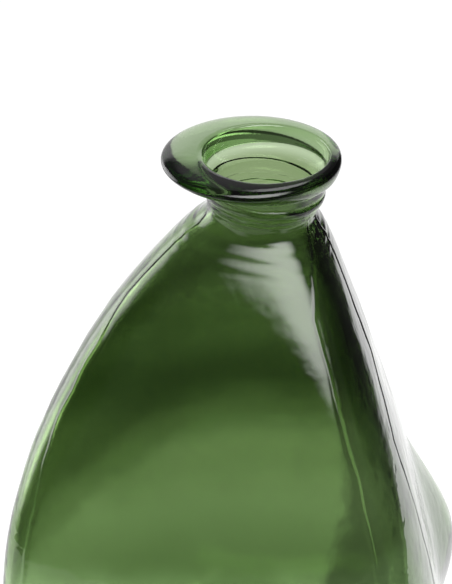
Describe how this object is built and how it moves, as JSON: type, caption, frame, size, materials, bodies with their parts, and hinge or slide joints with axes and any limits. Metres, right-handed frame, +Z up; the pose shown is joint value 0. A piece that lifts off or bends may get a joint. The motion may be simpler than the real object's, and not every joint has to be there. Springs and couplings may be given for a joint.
{
  "type": "glass carboy",
  "caption": "Squat soft-cornered green glass vessel with an off-centre short neck and a thick applied lip, for holding and pouring liquids.",
  "frame": {"origin": "on the resting plane, under the middle of the vessel's bounding box", "axes": "+Z up through the mouth, -Y towards the broad front panel, -X towards the wide side of the lip and the fuller shoulder"},
  "size_m": [0.2774, 0.24, 0.355],
  "materials": {
    "green_glass": "fire-polished transparent bottle-green glass with faint hammered ripple",
    "lip_glass": "thick fire-polished bottle-green glass, nearly black where it is deepest"
  },
  "bodies": {
    "root": {"body": "green_glass", "neck": "green_glass", "lip_ring": "lip_glass"}
  },
  "joints": []
}
